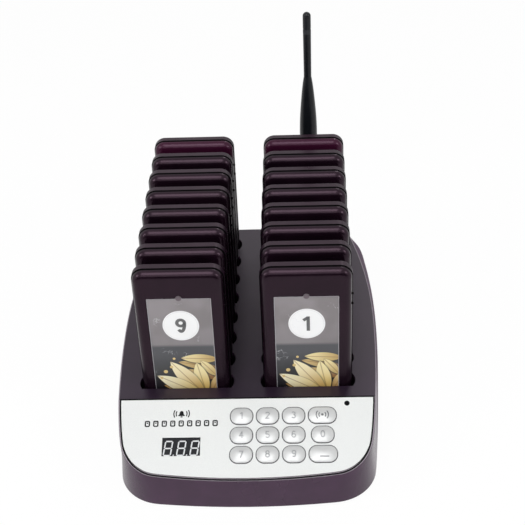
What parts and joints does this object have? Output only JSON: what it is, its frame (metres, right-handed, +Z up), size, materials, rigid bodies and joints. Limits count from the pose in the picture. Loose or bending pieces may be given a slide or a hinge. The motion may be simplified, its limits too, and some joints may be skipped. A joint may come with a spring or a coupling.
{
  "type": "guest pager system",
  "caption": "Counter-top calling and charging base with a tilted keypad panel, display and antenna, holding flat guest pagers upright in two columns of slots.",
  "frame": {"origin": "on the floor, at the middle of the whole object's box, antenna included", "axes": "+Z up, +Y from the keypad to the back, +X to the right as the keypad is faced"},
  "size_m": [0.1804, 0.2667, 0.219],
  "materials": {
    "aubergine_shell": "satin painted shell with a soft sheen",
    "silver_panel": "satin silver paint",
    "key_plastic": "silvered gloss plastic",
    "soft_rubber": "matt rubber",
    "dark_window": "smoked clear plastic",
    "display_black": "matt black",
    "light_lens": "dark lens",
    "board_green": "solder mask",
    "inner_black": "matt black moulding",
    "screw_steel": "zinc plated",
    "socket_brass": "plated brass",
    "antenna_black": "satin black",
    "antenna_rubber": "satin black rubber",
    "pager_shell": "satin painted shell"
  },
  "bodies": {
    "base": {"top_cover": "aubergine_shell", "bottom_cover": "inner_black", "feet": "soft_rubber", "control_panel": "silver_panel", "keypad_mat": "soft_rubber", "display_window": "dark_window", "display_module": "display_black", "status_led": "light_lens", "main_board": "board_green", "slot_cradle": "inner_black", "charging_board": "board_green", "screws": "screw_steel", "antenna_socket": "socket_brass", "power_jack": "inner_black"},
    "key_1": {"key_1": "key_plastic"},
    "key_2": {"key_2": "key_plastic"},
    "key_3": {"key_3": "key_plastic"},
    "key_call": {"key_call": "key_plastic"},
    "key_4": {"key_4": "key_plastic"},
    "key_5": {"key_5": "key_plastic"},
    "key_6": {"key_6": "key_plastic"},
    "key_0": {"key_0": "key_plastic"},
    "key_7": {"key_7": "key_plastic"},
    "key_8": {"key_8": "key_plastic"},
    "key_9": {"key_9": "key_plastic"},
    "key_clear": {"key_clear": "key_plastic"},
    "pager_01": {"pager_01_front_cover": "pager_shell", "pager_01_back_cover": "pager_shell"},
    "pager_02": {"pager_02_front_cover": "pager_shell", "pager_02_back_cover": "pager_shell"},
    "pager_03": {"pager_03_front_cover": "pager_shell", "pager_03_back_cover": "pager_shell"},
    "pager_04": {"pager_04_front_cover": "pager_shell", "pager_04_back_cover": "pager_shell"},
    "pager_05": {"pager_05_front_cover": "pager_shell", "pager_05_back_cover": "pager_shell"},
    "pager_06": {"pager_06_front_cover": "pager_shell", "pager_06_back_cover": "pager_shell"},
    "pager_07": {"pager_07_front_cover": "pager_shell", "pager_07_back_cover": "pager_shell"},
    "pager_08": {"pager_08_front_cover": "pager_shell", "pager_08_back_cover": "pager_shell"},
    "pager_09": {"pager_09_front_cover": "pager_shell", "pager_09_back_cover": "pager_shell"},
    "pager_10": {"pager_10_front_cover": "pager_shell", "pager_10_back_cover": "pager_shell"},
    "pager_11": {"pager_11_front_cover": "pager_shell", "pager_11_back_cover": "pager_shell"},
    "pager_12": {"pager_12_front_cover": "pager_shell", "pager_12_back_cover": "pager_shell"},
    "pager_13": {"pager_13_front_cover": "pager_shell", "pager_13_back_cover": "pager_shell"},
    "pager_14": {"pager_14_front_cover": "pager_shell", "pager_14_back_cover": "pager_shell"},
    "pager_15": {"pager_15_front_cover": "pager_shell", "pager_15_back_cover": "pager_shell"},
    "pager_16": {"pager_16_front_cover": "pager_shell", "pager_16_back_cover": "pager_shell"},
    "antenna_knuckle": {"antenna_knuckle": "antenna_black"},
    "antenna_whip": {"antenna_whip": "antenna_rubber"}
  },
  "joints": [
    {"name": "key_1_press", "type": "slide", "parent": "base", "child": "key_1", "axis": [0, 0.3843, -0.9232], "range_m": [0, 0.0012], "stiffness_N_per_m": 900, "springref_m": -0.0004},
    {"name": "key_2_press", "type": "slide", "parent": "base", "child": "key_2", "axis": [0, 0.3843, -0.9232], "range_m": [0, 0.0012], "stiffness_N_per_m": 900, "springref_m": -0.0004},
    {"name": "key_3_press", "type": "slide", "parent": "base", "child": "key_3", "axis": [0, 0.3843, -0.9232], "range_m": [0, 0.0012], "stiffness_N_per_m": 900, "springref_m": -0.0004},
    {"name": "key_call_press", "type": "slide", "parent": "base", "child": "key_call", "axis": [0, 0.3843, -0.9232], "range_m": [0, 0.0012], "stiffness_N_per_m": 900, "springref_m": -0.0004},
    {"name": "key_4_press", "type": "slide", "parent": "base", "child": "key_4", "axis": [0, 0.3843, -0.9232], "range_m": [0, 0.0012], "stiffness_N_per_m": 900, "springref_m": -0.0004},
    {"name": "key_5_press", "type": "slide", "parent": "base", "child": "key_5", "axis": [0, 0.3843, -0.9232], "range_m": [0, 0.0012], "stiffness_N_per_m": 900, "springref_m": -0.0004},
    {"name": "key_6_press", "type": "slide", "parent": "base", "child": "key_6", "axis": [0, 0.3843, -0.9232], "range_m": [0, 0.0012], "stiffness_N_per_m": 900, "springref_m": -0.0004},
    {"name": "key_0_press", "type": "slide", "parent": "base", "child": "key_0", "axis": [0, 0.3843, -0.9232], "range_m": [0, 0.0012], "stiffness_N_per_m": 900, "springref_m": -0.0004},
    {"name": "key_7_press", "type": "slide", "parent": "base", "child": "key_7", "axis": [0, 0.3843, -0.9232], "range_m": [0, 0.0012], "stiffness_N_per_m": 900, "springref_m": -0.0004},
    {"name": "key_8_press", "type": "slide", "parent": "base", "child": "key_8", "axis": [0, 0.3843, -0.9232], "range_m": [0, 0.0012], "stiffness_N_per_m": 900, "springref_m": -0.0004},
    {"name": "key_9_press", "type": "slide", "parent": "base", "child": "key_9", "axis": [0, 0.3843, -0.9232], "range_m": [0, 0.0012], "stiffness_N_per_m": 900, "springref_m": -0.0004},
    {"name": "key_clear_press", "type": "slide", "parent": "base", "child": "key_clear", "axis": [0, 0.3843, -0.9232], "range_m": [0, 0.0012], "stiffness_N_per_m": 900, "springref_m": -0.0004},
    {"name": "pager_01_lift", "type": "slide", "parent": "base", "child": "pager_01", "axis": [0, 0.0523, 0.9986], "range_m": [0, 0.12]},
    {"name": "pager_02_lift", "type": "slide", "parent": "base", "child": "pager_02", "axis": [0, 0.0523, 0.9986], "range_m": [0, 0.12]},
    {"name": "pager_03_lift", "type": "slide", "parent": "base", "child": "pager_03", "axis": [0, 0.0523, 0.9986], "range_m": [0, 0.12]},
    {"name": "pager_04_lift", "type": "slide", "parent": "base", "child": "pager_04", "axis": [0, 0.0523, 0.9986], "range_m": [0, 0.12]},
    {"name": "pager_05_lift", "type": "slide", "parent": "base", "child": "pager_05", "axis": [0, 0.0523, 0.9986], "range_m": [0, 0.12]},
    {"name": "pager_06_lift", "type": "slide", "parent": "base", "child": "pager_06", "axis": [0, 0.0523, 0.9986], "range_m": [0, 0.12]},
    {"name": "pager_07_lift", "type": "slide", "parent": "base", "child": "pager_07", "axis": [0, 0.0523, 0.9986], "range_m": [0, 0.12]},
    {"name": "pager_08_lift", "type": "slide", "parent": "base", "child": "pager_08", "axis": [0, 0.0523, 0.9986], "range_m": [0, 0.12]},
    {"name": "pager_09_lift", "type": "slide", "parent": "base", "child": "pager_09", "axis": [0, 0.0523, 0.9986], "range_m": [0, 0.12]},
    {"name": "pager_10_lift", "type": "slide", "parent": "base", "child": "pager_10", "axis": [0, 0.0523, 0.9986], "range_m": [0, 0.12]},
    {"name": "pager_11_lift", "type": "slide", "parent": "base", "child": "pager_11", "axis": [0, 0.0523, 0.9986], "range_m": [0, 0.12]},
    {"name": "pager_12_lift", "type": "slide", "parent": "base", "child": "pager_12", "axis": [0, 0.0523, 0.9986], "range_m": [0, 0.12]},
    {"name": "pager_13_lift", "type": "slide", "parent": "base", "child": "pager_13", "axis": [0, 0.0523, 0.9986], "range_m": [0, 0.12]},
    {"name": "pager_14_lift", "type": "slide", "parent": "base", "child": "pager_14", "axis": [0, 0.0523, 0.9986], "range_m": [0, 0.12]},
    {"name": "pager_15_lift", "type": "slide", "parent": "base", "child": "pager_15", "axis": [0, 0.0523, 0.9986], "range_m": [0, 0.12]},
    {"name": "pager_16_lift", "type": "slide", "parent": "base", "child": "pager_16", "axis": [0, 0.0523, 0.9986], "range_m": [0, 0.12]},
    {"name": "antenna_swivel", "type": "hinge", "parent": "base", "child": "antenna_knuckle", "pos_m": [0.0438, 0.12687, 0.016], "axis": [0, 1, 0], "range_deg": [-90, 90]},
    {"name": "antenna_fold", "type": "hinge", "parent": "antenna_knuckle", "child": "antenna_whip", "pos_m": [0.0438, 0.12687, 0.016], "axis": [-1, 0, 0], "range_deg": [0, 90]}
  ]
}
